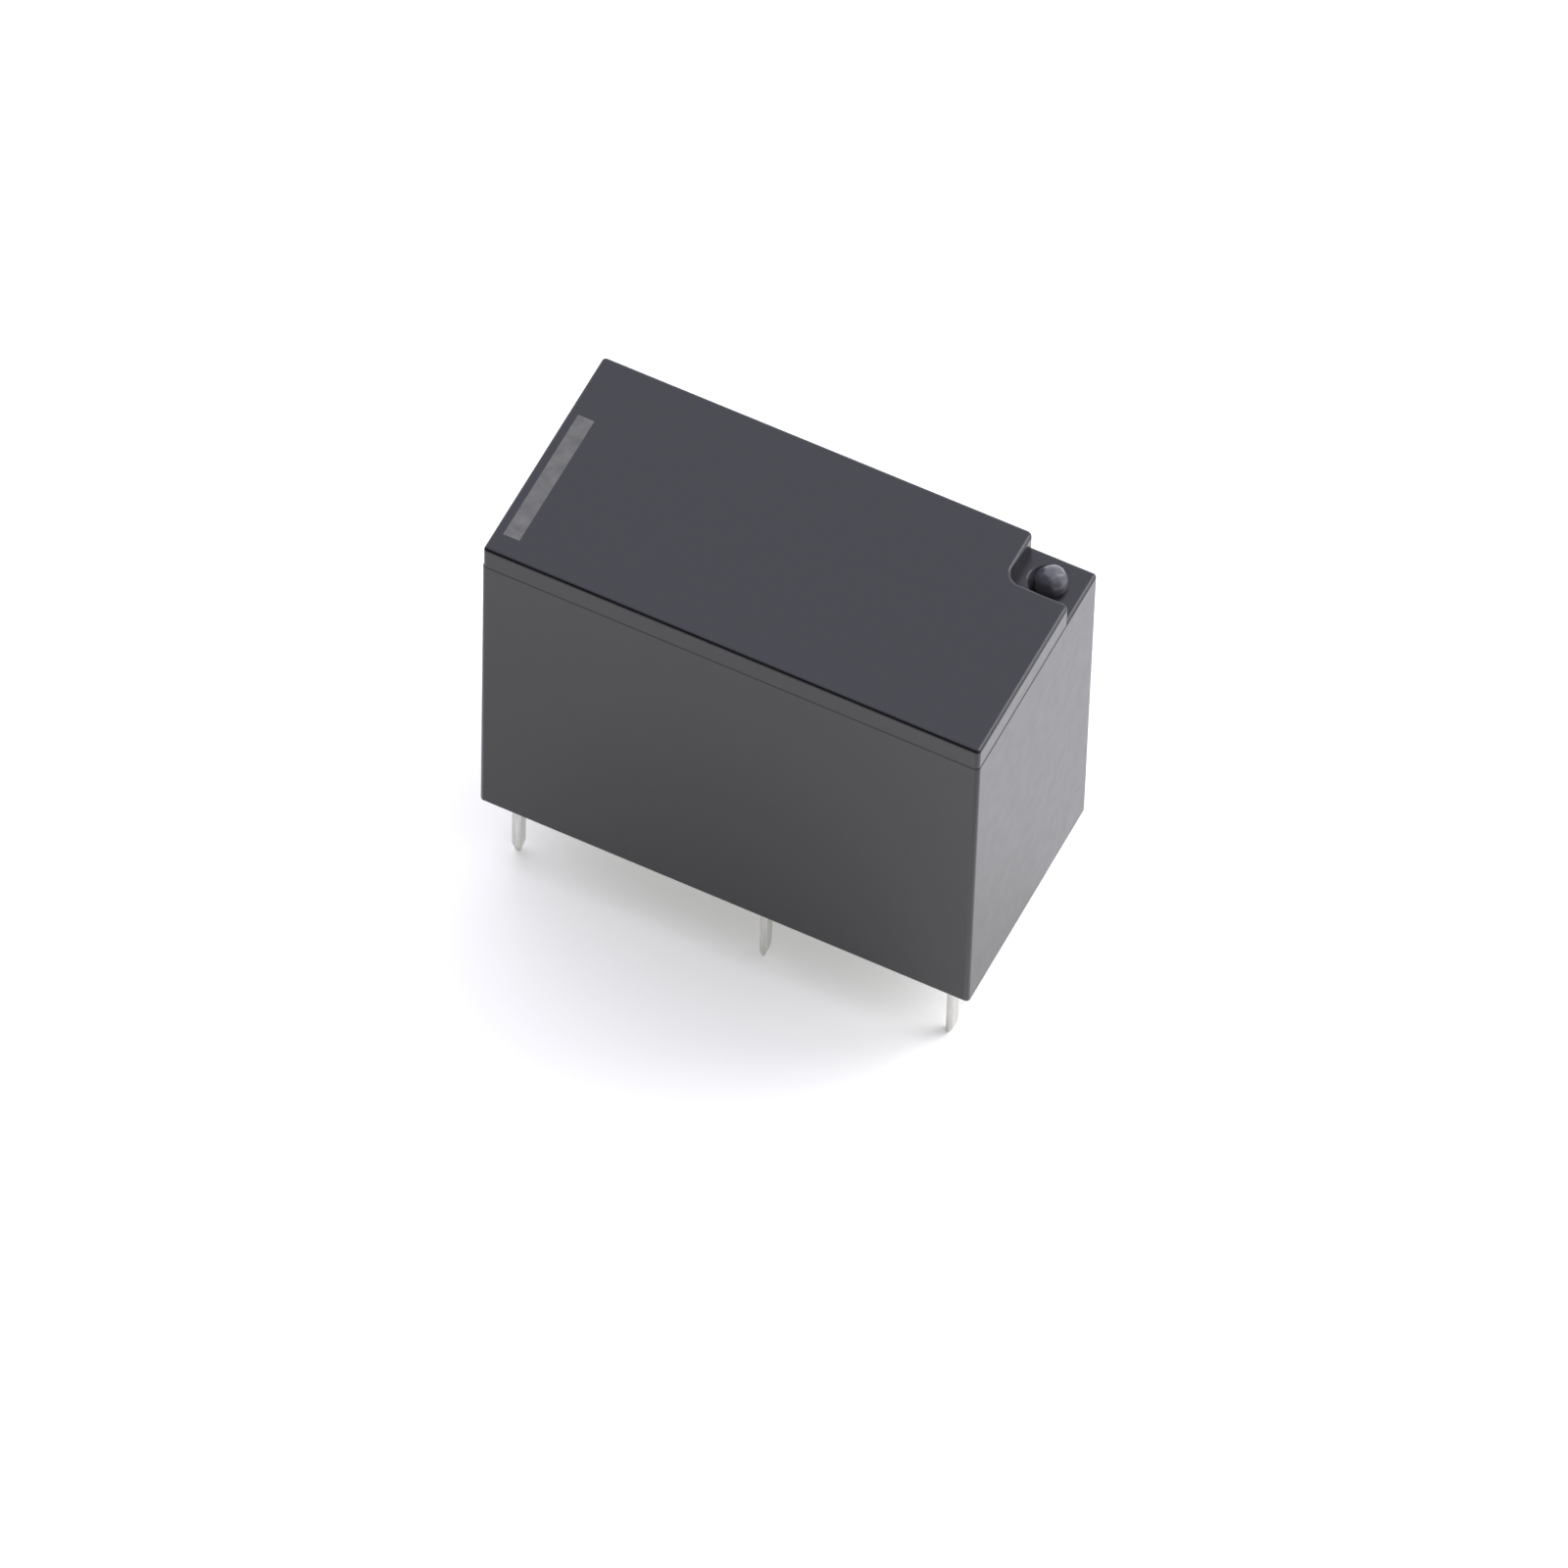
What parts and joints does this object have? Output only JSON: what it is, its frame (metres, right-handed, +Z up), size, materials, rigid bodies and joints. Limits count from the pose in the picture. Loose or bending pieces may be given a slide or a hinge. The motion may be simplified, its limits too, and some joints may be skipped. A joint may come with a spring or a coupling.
{
  "type": "pcb power relay",
  "caption": "Sealed block-shaped power relay for circuit boards, with a clapper armature, a coil and a change-over contact behind flat solder pins.",
  "frame": {"origin": "centre of the cover's rim on the board face", "axes": "+X along the cover to the contact end with the vent notch, +Y to the back row of pins, +Z up out of the board"},
  "size_m": [0.02, 0.0098, 0.0194],
  "materials": {
    "cover_plastic": "fine moulded satin, black",
    "epoxy_resin": "cast, glossy, black",
    "base_plastic": "moulded, black",
    "bobbin_plastic": "moulded, black",
    "card_plastic": "moulded, natural",
    "copper_wire": "enamelled copper",
    "soft_iron": "zinc plated",
    "spring_bronze": "rolled strip",
    "rivet_steel": "plain",
    "tinned_terminal": "tin plated copper alloy",
    "silver_contact": "silver alloy, satin"
  },
  "bodies": {
    "relay_body": {"cover": "cover_plastic", "sealing_resin": "epoxy_resin", "base": "base_plastic", "bobbin": "bobbin_plastic", "winding": "copper_wire", "core": "soft_iron", "yoke": "soft_iron", "hinge_spring": "spring_bronze", "hinge_spring_rivets": "rivet_steel", "common_terminal": "tinned_terminal", "spring_rivets": "rivet_steel", "normally_closed_terminal": "tinned_terminal", "normally_closed_contact": "silver_contact", "normally_open_terminal": "tinned_terminal", "normally_open_contact": "silver_contact", "coil_terminal_front": "tinned_terminal", "coil_terminal_back": "tinned_terminal", "coil_lead_front": "copper_wire", "coil_lead_back": "copper_wire"},
    "armature_assembly": {"armature": "soft_iron", "actuator_card": "card_plastic"},
    "contact_arm": {"moving_spring": "spring_bronze", "moving_contact": "silver_contact"}
  },
  "joints": [
    {"name": "armature_rock", "type": "hinge", "parent": "relay_body", "child": "armature_assembly", "pos_m": [-0.0001, 0, 0.012], "axis": [0, -1, 0], "range_deg": [0, 5.6], "stiffness_Nm_per_rad": 0.005, "springref_deg": -11.46},
    {"name": "contact_swing", "type": "hinge", "parent": "relay_body", "child": "contact_arm", "pos_m": [0.0026, 0, 0.00879], "axis": [0, -1, 0], "range_deg": [0, 4.79], "deforming": ["moving_spring"]}
  ],
  "couplings": [
    {"joint": "contact_swing", "follows": "armature_rock", "ratio": 0.855}
  ]
}
